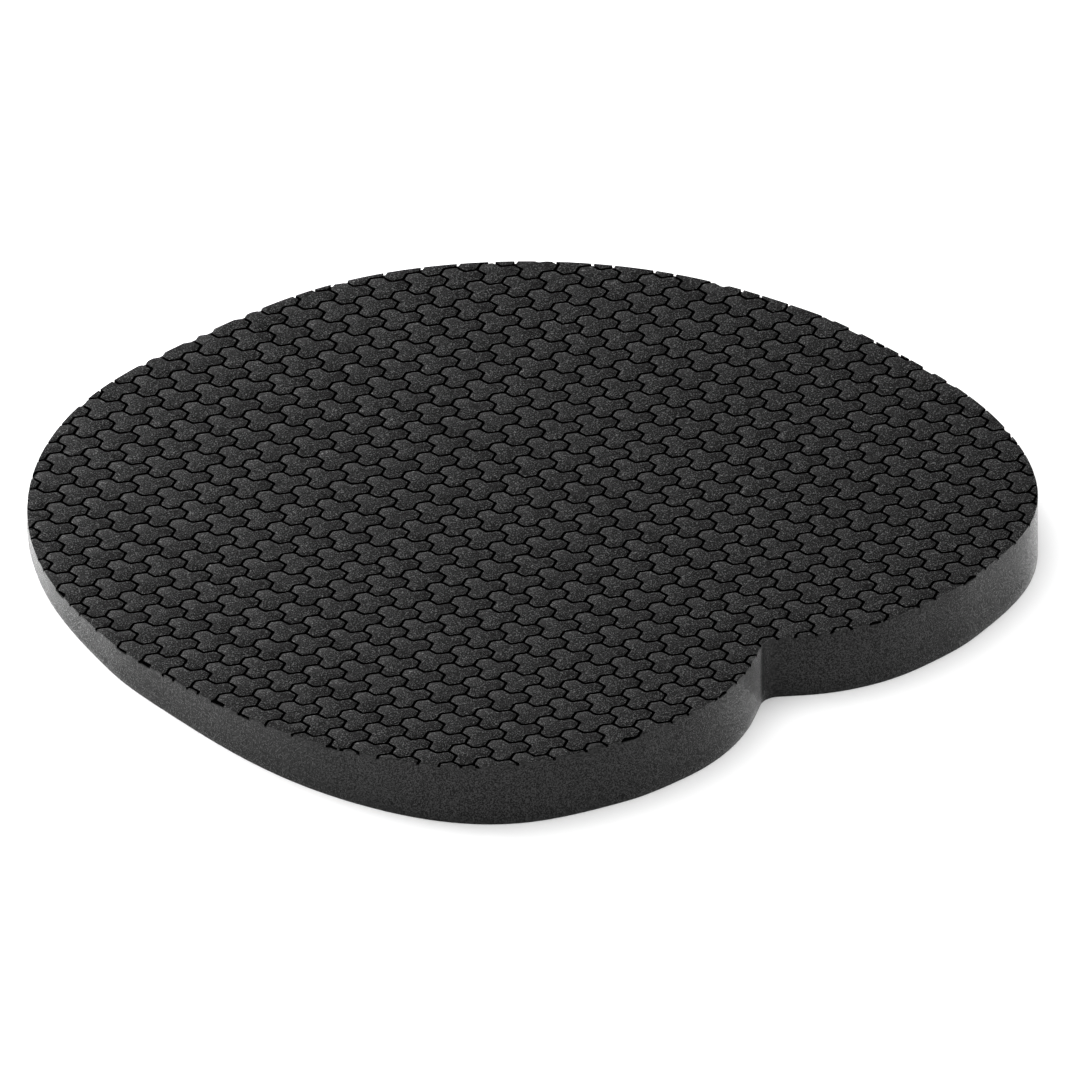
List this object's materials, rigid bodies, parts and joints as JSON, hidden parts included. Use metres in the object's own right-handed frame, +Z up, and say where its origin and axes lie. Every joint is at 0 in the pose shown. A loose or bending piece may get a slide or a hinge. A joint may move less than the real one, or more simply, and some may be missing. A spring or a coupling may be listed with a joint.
{
  "type": "wedge riding pad",
  "caption": "Wedge-shaped foam pad for a rider's lower back or seat, tailbone notch in its thick end, skin of bonded three-lobed tiles.",
  "frame": {"origin": "on the flat underside, in the middle of the outline's bounding box", "axes": "+X across the pad, +Y from the thick notched end towards the thin end, +Z up out of the flat underside"},
  "size_m": [0.375, 0.369, 0.0295],
  "materials": {
    "core_foam": "matte",
    "black_film": "matte",
    "tile_foam": "matte"
  },
  "bodies": {
    "root": {"foam_core": "core_foam", "carrier_film": "black_film", "tile_column_01": "tile_foam", "tile_column_02": "tile_foam", "tile_column_03": "tile_foam", "tile_column_04": "tile_foam", "tile_column_05": "tile_foam", "tile_column_06": "tile_foam", "tile_column_07": "tile_foam", "tile_column_08": "tile_foam", "tile_column_09": "tile_foam", "tile_column_10": "tile_foam", "tile_column_11": "tile_foam", "tile_column_12": "tile_foam", "tile_column_13": "tile_foam", "tile_column_14": "tile_foam", "tile_column_15": "tile_foam", "tile_column_16": "tile_foam", "tile_column_17": "tile_foam", "tile_column_18": "tile_foam", "tile_column_19": "tile_foam", "tile_column_20": "tile_foam", "tile_column_21": "tile_foam", "tile_column_22": "tile_foam", "tile_column_23": "tile_foam", "tile_column_24": "tile_foam", "tile_column_25": "tile_foam", "tile_column_26": "tile_foam", "tile_column_27": "tile_foam", "tile_column_28": "tile_foam", "tile_column_29": "tile_foam"}
  },
  "joints": []
}
